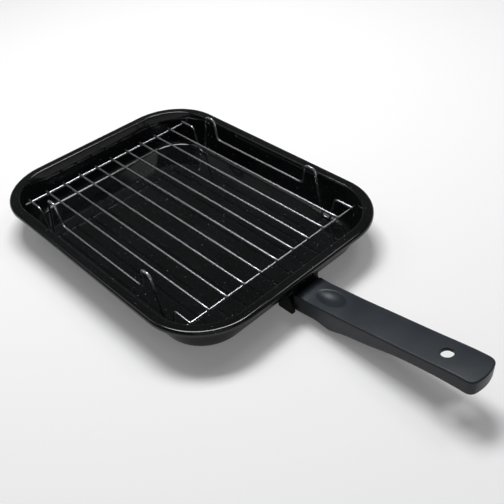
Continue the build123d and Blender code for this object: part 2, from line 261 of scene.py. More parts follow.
@dataclass(frozen=True)
class EnamelFinish:
    """Glossy black vitreous enamel with fine pale specks fired into it."""

    name: str = Slot.ENAMEL.value
    ground: Colour = (0.0030, 0.0034, 0.0036)
    thin: Colour = (0.0062, 0.0068, 0.0072)
    dust: Colour = (0.10, 0.11, 0.12)
    fleck: Colour = (0.62, 0.68, 0.74)
    dust_specks: Specks = Specks(1150.0, 0.26, 0.32, 9.0)
    fleck_specks: Specks = Specks(430.0, 0.17, 0.16, 16.0)
    cloud_scale: float = 16.0
    cloud_span: tuple[float, float] = (0.35, 0.75)
    gloss_scale: float = 9.0
    gloss_low: float = 0.045
    gloss_high: float = 0.11
    ior: float = 1.5
    sheen: float = 0.4
    peel_scale: float = 260.0
    peel_height: float = 0.007 * MM
    sag_scale: float = 24.0
    sag_height: float = 0.09 * MM

    def make(self) -> bpy.types.Material:
        """Builds the material: cloudy black, dust and larger flecks, orange peel and slow sags.

        Returns:
            The material.
        """
        paint = Finish(self.name)
        cloud = paint.noise(self.cloud_scale, 4.0).ramp(*self.cloud_span)
        black = paint.blend(cloud, self.ground, self.thin)
        dusted = paint.blend(paint.specks(self.dust_specks), black, self.dust)
        peel = paint.bump(paint.noise(self.peel_scale, 1.0), self.peel_height)
        patches = paint.noise(self.gloss_scale, 2.0)
        return paint.set(
            Base_Color=paint.blend(paint.specks(self.fleck_specks), dusted, self.fleck),
            Roughness=patches * (self.gloss_high - self.gloss_low) + self.gloss_low,
            IOR=self.ior,
            Specular_IOR_Level=self.sheen,
            Normal=paint.bump(paint.noise(self.sag_scale, 1.0), self.sag_height, peel),
        )


@dataclass(frozen=True)
class ChromeFinish:
    """Bright chromium plate on drawn wire, a little duller in patches."""

    name: str = Slot.WIRE.value
    colour: Colour = (0.50, 0.51, 0.54)
    dull: Colour = (0.29, 0.29, 0.31)
    patch_scale: float = 75.0
    gloss_low: float = 0.19
    gloss_high: float = 0.36
    mark_scale: float = 1400.0
    mark_height: float = 0.01 * MM

    def make(self) -> bpy.types.Material:
        """Builds the material from two noises: patchy dullness and fine die marks.

        Returns:
            The material.
        """
        plate = Finish(self.name)
        patches = plate.noise(self.patch_scale, 3.0)
        return plate.set(
            Base_Color=plate.blend(patches, self.dull, self.colour),
            Metallic=1.0,
            Roughness=self.gloss_high - patches * (self.gloss_high - self.gloss_low),
            Normal=plate.bump(plate.noise(self.mark_scale, 2.0), self.mark_height),
        )


@dataclass(frozen=True)
class PlasticFinish:
    """Satin black heat-resistant moulding with a fine spark-eroded grain."""

    name: str = Slot.PLASTIC.value
    colour: Colour = (0.017, 0.0215, 0.027)
    pale: Colour = (0.023, 0.029, 0.036)
    cloud_scale: float = 34.0
    cloud_span: tuple[float, float] = (0.3, 0.7)
    gloss_low: float = 0.33
    gloss_high: float = 0.45
    sheen: float = 0.24
    grain_scale: float = 2600.0
    grain_height: float = 0.02 * MM
    flow_scale: float = 55.0
    flow_height: float = 0.05 * MM

    def make(self) -> bpy.types.Material:
        """Builds the material: cloudy colour and gloss, a fine even grain and a few flow marks.

        Returns:
            The material.
        """
        resin = Finish(self.name)
        cloud = resin.noise(self.cloud_scale, 4.0)
        grain = resin.bump(resin.noise(self.grain_scale, 2.0), self.grain_height)
        return resin.set(
            Base_Color=resin.blend(cloud.ramp(*self.cloud_span), self.colour, self.pale),
            Roughness=cloud * (self.gloss_high - self.gloss_low) + self.gloss_low,
            Specular_IOR_Level=self.sheen,
            Normal=resin.bump(resin.noise(self.flow_scale, 1.0), self.flow_height, grain),
        )


@dataclass(frozen=True)
class MetalFinish:
    """Plain metal with a thin fired or plated skin, stained in places."""

    name: str
    colour: Colour
    stain: Colour
    metal: float
    gloss: float
    sheen: float = 0.5
    stain_scale: float = 120.0
    stain_span: tuple[float, float] = (0.42, 0.67)
    stain_dulling: float = 0.12
    mark_scale: float = 900.0
    mark_height: float = 0.03 * MM

    def make(self) -> bpy.types.Material:
        """Builds the material: a stain that follows noise over the colour, with rolling marks.

        Returns:
            The material.
        """
        skin = Finish(self.name)
        stain = skin.noise(self.stain_scale, 5.0).ramp(*self.stain_span)
        return skin.set(
            Base_Color=skin.blend(stain, self.colour, self.stain),
            Metallic=self.metal,
            Roughness=stain * self.stain_dulling + self.gloss,
            Specular_IOR_Level=self.sheen,
            Normal=skin.bump(skin.noise(self.mark_scale, 3.0), self.mark_height),
        )


BLACK_STEEL = MetalFinish(
    name=Slot.STEEL.value,
    colour=(0.004, 0.0037, 0.0034),
    stain=(0.007, 0.006, 0.005),
    metal=0.0,
    gloss=0.48,
    sheen=0.15,
)
PLATED_STEEL = MetalFinish(
    name=Slot.PLATED.value,
    colour=(0.52, 0.52, 0.50),
    stain=(0.40, 0.39, 0.36),
    metal=1.0,
    gloss=0.3,
)
BRASS = MetalFinish(
    name=Slot.BRASS.value,
    colour=(0.66, 0.50, 0.22),
    stain=(0.45, 0.32, 0.14),
    metal=1.0,
    gloss=0.3,
)


def add_mesh(
    name: str, points: np.ndarray, faces: list[Face], finish: bpy.types.Material
) -> bpy.types.Object:
    """Makes a smooth-shaded object from points and faces.

    Args:
        name: The object's name.
        points: Its vertices, three numbers each.
        faces: Its polygons, as vertex numbers.
        finish: Its material.

    Returns:
        The object, at the origin.
    """
    mesh = bpy.data.meshes.new(name)
    mesh.from_pydata(points.reshape(-1, 3).tolist(), [], faces)
    mesh.polygons.foreach_set("use_smooth", [True] * len(mesh.polygons))
    mesh.materials.append(finish)
    mesh.update()
    made = bpy.data.objects.new(name, mesh)
    bpy.context.scene.collection.objects.link(made)
    return made


def grid_faces(rows: int, columns: int, closed: bool, first: int = 0) -> list[Face]:
    """Quads of a grid of points numbered row by row.

    Args:
        rows: Number of rows.
        columns: Number of points in a row.
        closed: Whether the end of a row joins its start.
        first: Number of the grid's first vertex.

    Returns:
        The quads, wound so that row x column points outwards.
    """
    spans = columns if closed else columns - 1
    i, j = np.meshgrid(np.arange(rows - 1), np.arange(spans), indexing="ij")
    beside, row, following = (j + 1) % columns, i * columns, (i + 1) * columns
    quads = np.stack([row + j, row + beside, following + beside, following + j], -1)
    return [tuple(quad) for quad in (quads.reshape(-1, 4) + first).tolist()]


def barrel_faces(rows: int, columns: int, first: int = 0) -> list[Face]:
    """Faces of rings whose ends are closed by fans round two poles.

    The poles are the two vertices after the rings, the one at the first ring coming first.

    Args:
        rows: Number of rings.
        columns: Number of points in a ring.
        first: Number of the first vertex.

    Returns:
        The faces, wound as grid_faces winds them.
    """
    ring = np.arange(columns)
    beside = np.roll(ring, -1)
    last, pole = (rows - 1) * columns, rows * columns
    start = np.stack([np.full(columns, pole), beside, ring], -1)
    end = np.stack([np.full(columns, pole + 1), last + ring, last + beside], -1)
    fans = [tuple(fan) for fan in (np.concatenate([start, end]) + first).tolist()]
    return grid_faces(rows, columns, True, first) + fans


def flipped(faces: list[Face]) -> list[Face]:
    """The same faces, wound the other way."""
    return [face[::-1] for face in faces]


def rounded_path(
    corners: Sequence[Sequence[float]], radii: Sequence[float], steps: int, fill: int
) -> np.ndarray:
    """A flat path through corners, each rounded by an arc.

    An arc of radius r at a corner that turns by t starts r tan(t/2) before it, and its points are
    the arc's centre plus r times the unit direction that turns steadily from one side to the other.

    Args:
        corners: Two-number points.
        radii: Radius at each inner corner.
        steps: Number of spans in each arc.
        fill: Number of spans in each straight run.

    Returns:
        The path's points, one row each.
    """
    points = np.asarray(corners, float)
    stretches = [points[:1]]
    for before, corner, after, radius in zip(points, points[1:], points[2:], radii):
        coming, going = corner - before, after - corner
        coming, going = coming / np.linalg.norm(coming), going / np.linalg.norm(going)
        turn = math.atan2(coming[0] * going[1] - coming[1] * going[0], float(coming @ going))
        inward = np.array([-coming[1], coming[0]]) * math.copysign(1.0, turn)
        centre = corner - coming * radius * math.tan(abs(turn) / 2) + inward * radius
        angles = math.atan2(-inward[1], -inward[0]) + turn * np.linspace(0, 1, steps + 1)
        stretches.append(centre + radius * np.stack([np.cos(angles), np.sin(angles)], -1))
    stretches.append(points[-1:])
    filled = [stretches[0]]
    share = np.linspace(0, 1, fill + 1)[1:-1, None]
    for last, following in zip(stretches, stretches[1:]):
        filled += [last[-1] * (1 - share) + following[0] * share, following]
    return np.concatenate(filled)


def rounded_rectangle(corner_steps: int, side_steps: int) -> tuple[np.ndarray, ...]:
    """Shape of a rounded rectangle, whatever its size, once round from the +X side.

    A point is share x (half size - radius) + radius x normal in each direction.

    Args:
        corner_steps: Number of spans in each corner.
        side_steps: Number of spans in each side.

    Returns:
        Shares in x and y, then normals in x and y.
    """
    signs = np.array([(1, 1), (-1, 1), (-1, -1), (1, -1)], float)
    turn = np.linspace(0, 1, corner_steps + 1)
    run = np.linspace(0, 1, side_steps + 1)[1:-1, None]
    shares, normals = [], []
    for corner, (sign, following) in enumerate(zip(signs, np.roll(signs, -1, axis=0))):
        angles = QUARTER_TURN * (corner + turn)
        normal = np.stack([np.cos(angles), np.sin(angles)], -1)
        shares += [np.repeat(sign[None], len(turn), 0), sign * (1 - run) + following * run]
        normals += [normal, np.repeat(normal[-1:], len(run), 0)]
    share, normal = np.concatenate(shares), np.concatenate(normals)
    return share[:, 0], share[:, 1], normal[:, 0], normal[:, 1]


def natural_spline(
    places: Sequence[float], values: Sequence[float], wanted: np.ndarray
) -> np.ndarray:
    """Smooth curve through values: cubic pieces whose slope and curvature agree where they meet.

    Args:
        places: Places of the values, rising.
        values: The values.
        wanted: Places to work the curve out at.

    Returns:
        The curve at the wanted places.
    """
    x, y = np.asarray(places, float), np.asarray(values, float)
    h, count = np.diff(x), len(x)
    system, right = np.eye(count), np.zeros(count)
    for k in range(1, count - 1):
        system[k, k - 1 : k + 2] = h[k - 1], 2 * (h[k - 1] + h[k]), h[k]
        right[k] = 6 * ((y[k + 1] - y[k]) / h[k] - (y[k] - y[k - 1]) / h[k - 1])
    bend = np.linalg.solve(system, right)
    k = np.clip(np.searchsorted(x, wanted) - 1, 0, count - 2)
    a, b = x[k + 1] - wanted, wanted - x[k]
    cubic = (bend[k] * a**3 + bend[k + 1] * b**3) / (6 * h[k])
    from_start = (y[k] / h[k] - bend[k] * h[k] / 6) * a
    from_end = (y[k + 1] / h[k] - bend[k + 1] * h[k] / 6) * b
    return cubic + from_start + from_end


def smooth_least(first: np.ndarray, second: np.ndarray, soft: float) -> np.ndarray:
    """The lesser of two heights, with the edge where they cross rounded over about a distance."""
    return first - soft * np.logaddexp(0.0, (first - second) / soft)


@dataclass
class Dish:
    """The drawn tray: leaning walls, flat flange and turned-down lip, from one sheet."""

    finish: bpy.types.Material
    sheet: float = 1.2 * MM
    rim_corner: float = 71.0 * MM
    flange: float = 12.0 * MM
    lip: float = 5.0 * MM
    lip_roll: float = 3.4 * MM
    flare: float = 2.4 * MM
    base_half: tuple[float, float] = (128.0 * MM, 170.0 * MM)
    base_corner: float = 46.2 * MM
    floor_fillet: float = 5.5 * MM
    edge_share: float = 0.4
    arc_steps: int = 8
    fill_steps: int = 5
    corner_steps: int = 28
    side_steps: int = 22
    floor_rings: int = 14
    floor_share: float = 0.9

    def section(self, base: float, rim: float, top: float) -> np.ndarray:
        """Closed section of the sheet across one side, from the floor out and back underneath.

        Args:
            base: Half size of the underside.
            rim: Half size of the rim.
            top: Height of the flange.

        Returns:
            Points (distance from the middle, height).
        """
        neck, s = rim - self.flange, self.sheet
        spread = (neck - base + s) / top
        inside, hidden = base - s + spread * s, top - s
        edge = self.edge_share * s
        corners = [
            (inside * self.floor_share, s),
            (inside, s),
            (neck, top),
            (rim, top),
            (rim, top - self.lip),
            (rim - s, top - self.lip),
            (rim - s, hidden),
            (base + spread * hidden, hidden),
            (base, 0.0),
            (inside * self.floor_share, 0.0),
        ]
        inner_radii = [self.floor_fillet, self.flare, self.lip_roll]
        outer_radii = [self.lip_roll - s, self.flare - s, self.floor_fillet + s]
        radii = [*inner_radii, edge, edge, *outer_radii]
        return rounded_path(corners, radii, self.arc_steps, self.fill_steps)

    def build(self) -> None:
        """Carries the section round a rounded rectangle.

        The sections across the width and across the length share their point numbers, so each row
        has a half size in x and in y, and its height turns from one to the other with the normal.
        The corner radius grows with the height of the wall, and with how far a row lies outside it.
        """
        low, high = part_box("pan_dish")
        top, rims = high[2], (high[0], high[1])
        across, along = (self.section(base, rim, top) for base, rim in zip(self.base_half, rims))
        share_x, share_y, normal_x, normal_y = rounded_rectangle(self.corner_steps, self.side_steps)
        climb = across[:, 1] / top
        neck = rims[0] - self.flange + self.sheet
        neck_corner = self.rim_corner - self.flange + self.sheet
        wall = self.base_half[0] + (neck - self.base_half[0]) * climb
        wall_corner = self.base_corner + (neck_corner - self.base_corner) * climb
        corner = (wall_corner + across[:, 0] - wall)[:, None]
        x = share_x * (across[:, :1] - corner) + corner * normal_x
        y = share_y * (along[:, :1] - corner) + corner * normal_y
        z = across[:, 1:] * normal_x**2 + along[:, 1:] * normal_y**2
        shell = np.stack([x, y, z], -1)
        shrink = np.linspace(1, 0, self.floor_rings + 1)[1:-1, None, None]
        flat = np.array([1.0, 1.0, 0.0])
        floor, under = (edge * (shrink * flat + (1 - flat)) for edge in (shell[0], shell[-1]))
        rows = np.concatenate([floor[::-1], shell, under])
        poles = np.array([[0, 0, shell[0, 0, 2]], [0, 0, shell[-1, 0, 2]]])
        points = np.concatenate([rows.reshape(-1, 3), poles])
        faces = flipped(barrel_faces(*rows.shape[:2]))
        dish = add_mesh("enamelled_dish", points, faces, self.finish)
        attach(dish, Body.PAN.value)
        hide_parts("pan_dish")
        LOG.info("dish: %d faces", len(faces))


@dataclass
class Rack:
    """Nine grid wires on two crossbars, with a bent leg wire at each side, welded together."""

    finish: bpy.types.Material
    wire: float = 2.7 * MM
    bevel: float = 0.35 * MM
    sides: int = 20
    straight_steps: int = 24
    loop_rise: float = 27.5 * MM
    foot_drop: float = 33.0 * MM
    loop_start: float = 75.5 * MM
    loop_top_start: float = 81.0 * MM
    loop_top_width: float = 13.8 * MM
    foot_start: float = 107.3 * MM
    foot_width: float = 11.4 * MM
    leg_end: float = 126.5 * MM
    run_bend: float = 6.0 * MM
    loop_bend: float = 6.3 * MM
    foot_bend: float = 5.2 * MM
    arc_steps: int = 12
    fill_steps: int = 6
    grid_wires: int = 9
    weld_half: tuple[float, float, float] = (1.75 * MM, 1.75 * MM, 0.9 * MM)
    weld_rings: int = 7
    weld_sides: int = 14

    @property
    def radius(self) -> float:
        """Radius of the wire."""
        return self.wire / 2

    def tube(self, name: str, path: np.ndarray, sideways: Sequence[float], node: str) -> None:
        """A round wire along a flat path, with bevelled ends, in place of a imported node.

        Each ring is the path's point plus the radius times (cos a x sideways + sin a x normal),
        where the normal is square to the path in its plane.

        Args:
            name: The piece's name.
            path: The wire's centre line, one point a row.
            sideways: Unit direction square to the path's plane.
            node: The node that it replaces.
        """
        side = np.asarray(sideways, float)
        start, end = path[1] - path[0], path[-1] - path[-2]
        inner = [
            path[0] + start / np.linalg.norm(start) * self.bevel,
            path[-1] - end / np.linalg.norm(end) * self.bevel,
        ]
        line = np.concatenate([path[:1], inner[:1], path[1:-1], inner[1:], path[-1:]])
        heading = np.gradient(line, axis=0)
        heading /= np.linalg.norm(heading, axis=1)[:, None]
        normal = np.cross(heading, side)
        sizes = np.full(len(line), self.radius)
        sizes[[0, -1]] -= self.bevel
        angles = FULL_TURN * np.arange(self.sides) / self.sides
        cosine, sine = np.cos(angles)[None, :, None], np.sin(angles)[None, :, None]
        ring = cosine * side + sine * normal[:, None]
        rows = line[:, None] + sizes[:, None, None] * ring
        faces = grid_faces(len(line), self.sides, True)
        first = np.arange(self.sides)
        last = (len(line) - 1) * self.sides + first
        faces += [tuple(first[::-1].tolist()), tuple(last.tolist())]
        made = add_mesh(name, rows, faces, self.finish)
        made.data.polygons.foreach_set("use_smooth", [True] * (len(faces) - 2) + [False] * 2)
        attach(made, Body.RACK.value)
        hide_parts(node)

    def leg_path(self, height: float, reach: float) -> np.ndarray:
        """Centre line (y, z) of a leg wire: run, loop, foot and end, the same both ways.

        Args:
            height: Height of the run.
            reach: Half length of the wire.

        Returns:
            The path's points.
        """
        half = [
            (self.loop_start, height, self.run_bend),
            (self.loop_top_start, height + self.loop_rise, self.loop_bend),
            (self.loop_top_start + self.loop_top_width, height + self.loop_rise, self.loop_bend),
            (self.foot_start, height - self.foot_drop, self.foot_bend),
            (self.foot_start + self.foot_width, height - self.foot_drop, self.foot_bend),
            (self.leg_end, height, self.run_bend),
        ]
        corners = [(-y, z, bend) for y, z, bend in reversed(half)] + half
        line = [(-reach, height), *((y, z) for y, z, _ in corners), (reach, height)]
        bends = [bend for _, _, bend in corners]
        return rounded_path(line, bends, self.arc_steps, self.fill_steps)

    def welds(self, columns: Sequence[float], bars: Sequence[float], height: float) -> None:
        """Flat weld beads where the lengthwise wires lie on the crossbars.

        A bead is an ellipsoid: rings at an angle from pole to pole, stretched by its half sizes.

        Args:
            columns: x of each lengthwise wire.
            bars: y of each crossbar.
            height: Height at which the wires touch.
        """
        tilt = math.pi * np.arange(1, self.weld_rings + 1)[:, None] / (self.weld_rings + 1)
        turn = FULL_TURN * np.arange(self.weld_sides) / self.weld_sides
        rings = np.stack(
            [np.sin(tilt) * np.cos(turn), np.sin(tilt) * np.sin(turn), -np.cos(tilt) + 0 * turn], -1
        )
        bead = np.concatenate([rings.reshape(-1, 3), [[0, 0, -1], [0, 0, 1]]]) * self.weld_half
        middles = np.array([(x, y, height) for x in columns for y in bars])
        points = middles[:, None] + bead
        faces = [
            face
            for number in range(len(middles))
            for face in barrel_faces(self.weld_rings, self.weld_sides, number * len(bead))
        ]
        made = add_mesh("rack_weld_beads", points, faces, self.finish)
        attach(made, Body.RACK.value)

    def build(self) -> None:
        """Makes every wire where its node lies, then the welds between them."""
        columns, bars = [], []
        run = np.linspace(0, 1, self.straight_steps + 1)
        for number in range(1, self.grid_wires + 1):
            node = f"grid_wire_{number}"
            low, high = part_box(node)
            y = low[1] + (high[1] - low[1]) * run
            x, z = (low[0] + high[0]) / 2, (low[2] + high[2]) / 2
            path = np.stack([x + 0 * y, y, z + 0 * y], -1)
            self.tube(f"rack_grid_{number}", path, (1, 0, 0), node)
            columns.append(x)
        for side in ("left", "right"):
            node = f"{side}_leg_wire"
            low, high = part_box(node)
            flat = self.leg_path(low[2] + self.radius + self.foot_drop, high[1])
            x = (low[0] + high[0]) / 2
            self.tube(f"rack_{side}_legs", np.insert(flat, 0, x, axis=1), (1, 0, 0), node)
            columns.append(x)
        for side in ("front", "rear"):
            node = f"{side}_crossbar"
            low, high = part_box(node)
            x = low[0] + (high[0] - low[0]) * run
            y, z = (low[1] + high[1]) / 2, low[2] + self.radius
            self.tube(f"rack_{side}_bar", np.stack([x, y + 0 * x, z + 0 * x], -1), (0, 1, 0), node)
            bars.append(y)
        self.welds(columns, bars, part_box("front_crossbar")[0][2] + self.wire)
        LOG.info("rack: %d wires, %d welds", self.grid_wires + 4, len(columns) * len(bars))


@dataclass
class Grip:
    """The moulded handle: a bowed bar with a thumb dish, a finger stop and a hanging hole."""

    finish: bpy.types.Material
    nose_top: float = 27.6 * MM
    nose_depth: float = 23.8 * MM
    rise: float = 27.2 * MM
    end_arch: float = 4.0 * MM
    end_corner: float = 8.0 * MM
    nose_bevel: tuple[float, float] = (4.4 * MM, 3.2 * MM)
    bevel_soft: float = 0.25 * MM
    crown: float = 0.7 * MM
    top_round: float = 1.6 * MM
    under_round: float = 2.5 * MM
    thumb_run: float = 33.95 * MM
    thumb_length: float = 35.0 * MM
    thumb_width: float = 22.0 * MM
    thumb_depth: float = 4.2 * MM
    thumb_soft: float = 0.28 * MM
    hole_run: float = 163.93 * MM
    hole: float = 12.0 * MM
    hole_web: float = 4.2 * MM
    hole_round: float = 0.8 * MM
    hollow_half: tuple[float, float] = (16.0 * MM, 43.0 * MM)
    hollow_shift: float = -17.0 * MM
    hollow_corner: float = 9.0 * MM
    hollow_round: float = 1.5 * MM
    cutter_reach: float = 30.0 * MM
    cells_along: int = 260
    cells_across: int = 56
    crowding: tuple[float, float] = (0.55, 0.45)
    round_steps: int = 6
    side_steps: int = 8
    ring_steps: int = 72
    sharp_angle: float = math.radians(38)
    station_shares: tuple[tuple[float, float, float], ...] = (
        (0.0, 0.0, 1.0),
        (0.0777, 0.0, 0.918),
        (0.1525, 0.07, 0.943),
        (0.2213, 0.14, 1.076),
        (0.2902, 0.206, 0.968),
        (0.4368, 0.38, 0.836),
        (0.5864, 0.555, 0.667),
        (0.756, 0.765, 0.634),
        (0.9306, 0.967, 0.714),
        (1.0, 1.0, 0.743),
    )

    def __post_init__(self) -> None:
        """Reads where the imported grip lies."""
        low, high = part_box("handle_grip")
        self.nose, self.half_width = high[1], high[0]
        self.length = high[1] - low[1]

    def heights(self, y: np.ndarray) -> tuple[np.ndarray, np.ndarray]:
        """Top and underside heights along the grip, as smooth curves through the stations.

        A straight bevel cuts the top off at the nose, where the claw stands.

        Args:
            y: Places along the grip.

        Returns:
            Height of the top line and of the underside.
        """
        shares, rises, depths = (np.array(column) for column in zip(*self.station_shares))
        tops = self.nose_top + self.rise * rises
        run = self.nose - y
        top = natural_spline(shares, tops, run / self.length)
        under = natural_spline(shares, tops - self.nose_depth * depths, run / self.length)
        length, drop = self.nose_bevel
        return smooth_least(top, self.nose_top - drop + drop * run / length, self.bevel_soft), under

    def across(self, run: float) -> tuple[np.ndarray, np.ndarray, np.ndarray]:
        """Where the top line is at a distance from the nose, and how it lies there.

        Args:
            run: Distance from the nose.

        Returns:
            The point, the unit direction out of the grip, and the one along it to the tip.
        """
        y = self.nose - run
        top, _ = self.heights(np.array([y - MM, y, y + MM]))
        slope = (top[2] - top[0]) / (2 * MM)
        lean = math.hypot(1, slope)
        out, ahead = np.array([0, -slope, 1]) / lean, np.array([0, -1, -slope]) / lean
        return np.array([0, y, top[1]]), out, ahead

    def reach(self, x: np.ndarray, inset: np.ndarray) -> np.ndarray:
        """How far the plan outline reaches from the nose at a sideways place.

        The end is a shallow arc, and each corner is an arc that leaves the side square on and
        meets it: sqrt(r^2 - (distance into the corner)^2) beyond the corner's centre.

        Args:
            x: Sideways places.
            inset: How far inside the true outline.

        Returns:
            Distance from the nose.
        """
        half, corner = self.half_width, self.end_corner
        bow = (half**2 + self.end_arch**2) / (2 * self.end_arch)
        centre_x = half - corner
        centre_reach = self.length - bow + math.sqrt((bow - corner) ** 2 - centre_x**2)
        radius = np.maximum(corner - inset, 0.0)
        touch = centre_x * bow / (bow - corner)
        away = np.abs(x)
        arch = self.length - bow + np.sqrt(np.maximum((bow - inset) ** 2 - away**2, 0.0))
        rounded = centre_reach + np.sqrt(np.maximum(radius**2 - (away - centre_x) ** 2, 0.0))
        limit = centre_x + (touch - centre_x) * radius / corner
        return np.where(away > limit, rounded, arch)

    def plan(self, u: np.ndarray, v: np.ndarray, inset: float) -> tuple[np.ndarray, np.ndarray]:
        """Plan place of grid point (u, v), u from -1 to 1 across and v from 0 to 1 along.

        Args:
            u: Share of the half width.
            v: Share of the reach at that x.
            inset: How far inside the true outline.

        Returns:
            x and y.
        """
        x = u * (self.half_width - inset)
        return x, self.nose - v * self.reach(x, np.full_like(x, inset))

    def dished(self, x: np.ndarray, y: np.ndarray, top: np.ndarray) -> np.ndarray:
        """Top height, crowned a little from side to side, with the thumb dish pressed in.

        The dish is a barrel laid along the slope: at a distance s along, its radius is the bow's
        sqrt(b^2 - s^2) less (b - cross radius), and its surface lies that far under the barrel's
        axis. A smooth minimum rounds the edge where it meets the top.

        Args:
            x: Sideways places.
            y: Places along.
            top: Height of the plain top.

        Returns:
            The dished height.
        """
        middle, out, ahead = self.across(self.thumb_run)
        depth = self.thumb_depth
        bow = ((self.thumb_length / 2) ** 2 + depth**2) / (2 * depth)
        cross = ((self.thumb_width / 2) ** 2 + depth**2) / (2 * depth)
        along = (middle[1] - y) / -ahead[1]
        radius = cross - bow + np.sqrt(np.maximum(bow**2 - along**2, 0.0))
        drop = np.sqrt(np.maximum(radius**2 - x**2, 0.0))
        barrel = middle[2] + along * ahead[2] + (cross - depth - drop) / out[2]
        barrel = np.where(np.abs(along) < self.thumb_length, barrel, top + depth)
        crowned = top - self.crown * (x / self.half_width) ** 2
        return smooth_least(crowned, barrel, self.thumb_soft)

    def shell(self) -> tuple[np.ndarray, list[Face]]:
        """Closed skin of the grip before anything is cut.

        The top and the underside are grids, with cells that narrow towards the sides. Their common
        border is carried down the side in rows: a quarter round at the top, the flat side, and a
        quarter round underneath.

        Returns:
            Points and faces.
        """
        even = np.linspace(-1, 1, self.cells_across + 1)
        v, u = np.meshgrid(
            np.linspace(0, 1, self.cells_along + 1),
            self.crowding[0] * np.sin(QUARTER_TURN * even) + self.crowding[1] * even,
            indexing="ij",
        )
        rows, columns = v.shape
        number = np.arange(rows * columns).reshape(rows, columns)
        border = np.concatenate(
            [number[:-1, 0], number[-1, :-1], number[:0:-1, -1], number[0, :0:-1]]
        )
        border_u, border_v = u.reshape(-1)[border], v.reshape(-1)[border]
        x, y = self.plan(u, v, self.top_round)
        top, _ = self.heights(y)
        skin = [np.stack([x, y, self.dished(x, y, top)], -1).reshape(-1, 3)]
        turn = np.linspace(0, QUARTER_TURN, self.round_steps + 1)
        upper = [
            (self.top_round * (1 - math.sin(a)), self.top_round * (1 - math.cos(a)), 0.0)
            for a in turn[1:]
        ]
        lower = [
            (self.under_round * (1 - math.cos(a)), self.under_round * (1 - math.sin(a)), 1.0)
            for a in turn[:-1]
        ]
        walls = [(0.0, 0.0, share) for share in np.linspace(0, 1, self.side_steps + 1)[1:-1]]
        for inset, drop, share in upper + walls + lower:
            x, y = self.plan(border_u, border_v, inset)
            top, under = self.heights(y)
            top = top - self.crown * (x / self.half_width) ** 2
            if share == 0.0:
                z = top - drop
            elif share == 1.0:
                z = under + drop
            else:
                z = (top - self.top_round) * (1 - share) + (under + self.under_round) * share
            skin.append(np.stack([x, y, z], -1))
        x, y = self.plan(u, v, self.under_round)
        skin.append(np.stack([x, y, self.heights(y)[1]], -1).reshape(-1, 3))
        strips, loop, above = len(skin) - 2, len(border), rows * columns
        rings = [border] + [above + k * loop + np.arange(loop) for k in range(strips)]
        rings.append(above + strips * loop + border)
        faces = flipped(grid_faces(rows, columns, False))
        for high, low in zip(rings, rings[1:]):
            quads = np.stack([low, np.roll(low, -1), np.roll(high, -1), high], -1)
            faces += [tuple(quad) for quad in quads.tolist()]
        faces += grid_faces(rows, columns, False, above + strips * loop)
        return np.concatenate(skin), faces

    def hole_cutter(self) -> bpy.types.Object:
        """A spool that cuts the hanging hole square to the top and rounds both its edges.

        Its radius is the hole's, and flares by a quarter round where it meets each face.

        Returns:
            The cutter.
        """
        middle, out, ahead = self.across(self.hole_run)
        turn = np.linspace(0, QUARTER_TURN, self.round_steps + 1)
        flare, depth, radius = self.hole_round, self.hole_web, self.hole / 2
        upper = np.stack([radius + flare * (1 - np.cos(turn)), flare * (np.sin(turn) - 1)], -1)
        upper = upper[::-1]
        lower = np.stack([upper[::-1, 0], -depth - upper[::-1, 1]], -1)
        ends = [[[radius + flare, flare]], [[radius + flare, -depth - flare]]]
        profile = np.concatenate([ends[0], upper, lower, ends[1]])
        angles = FULL_TURN * np.arange(self.ring_steps) / self.ring_steps
        ring = np.cos(angles)[:, None] * np.array([1.0, 0, 0]) + np.sin(angles)[:, None] * ahead
        rings = middle + profile[:, None, :1] * ring + profile[:, None, 1:] * out
        poles = middle + np.array([[profile[0, 1]], [profile[-1, 1]]]) * out
        points = np.concatenate([rings.reshape(-1, 3), poles])
        return add_mesh("hole_cutter", points, barrel_faces(*rings.shape[:2]), self.finish)

    def hollow_cutter(self) -> bpy.types.Object:
        """A rounded block that cuts the hollow in the underside, round the hanging hole.

        Its rings are rounded rectangles: one far below, then a quarter round that pulls in to the
        flat roof, which leaves a web of even thickness under the top.

        Returns:
            The cutter.
        """
        middle, out, ahead = self.across(self.hole_run)
        share_x, share_y, normal_x, normal_y = rounded_rectangle(self.round_steps, self.side_steps)
        turn = np.linspace(0, QUARTER_TURN, self.round_steps + 1)
        pull = np.concatenate([[0.0], self.hollow_round * (1 - np.cos(turn))])[:, None]
        depth = np.concatenate([[self.cutter_reach], self.hollow_round * (1 - np.sin(turn))])
        level = -self.hole_web - depth
        corner, half = self.hollow_corner - pull, self.hollow_half
        side = share_x * (half[0] - pull - corner) + corner * normal_x
        along = share_y * (half[1] - pull - corner) + corner * normal_y + self.hollow_shift
        rings = middle + side[..., None] * np.array([1.0, 0, 0]) + along[..., None] * ahead
        rings = rings + level[:, None, None] * out
        poles = middle + self.hollow_shift * ahead + level[[0, -1], None] * out
        points = np.concatenate([rings.reshape(-1, 3), poles])
        faces = flipped(barrel_faces(*rings.shape[:2]))
        return add_mesh("hollow_cutter", points, faces, self.finish)

    def build(self) -> None:
        """Makes the grip and cuts its hollow and its hole."""
        points, faces = self.shell()
        grip = add_mesh("moulded_grip", points, faces, self.finish)
        cutters = [self.hollow_cutter(), self.hole_cutter()]
        for cutter in cutters:
            cut = grip.modifiers.new(cutter.name, "BOOLEAN")
            cut.operation, cut.object, cut.solver = "DIFFERENCE", cutter, "EXACT"
        graph = bpy.context.evaluated_depsgraph_get()
        finished = bpy.data.meshes.new_from_object(grip.evaluated_get(graph))
        grip.modifiers.clear()
        grip.data = finished
        for cutter in cutters:
            bpy.data.objects.remove(cutter)
        finished.set_sharp_from_angle(angle=self.sharp_angle)
        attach(grip, Body.HANDLE.value)
        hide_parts("handle_grip")
        LOG.info("grip: %d faces", len(finished.polygons))


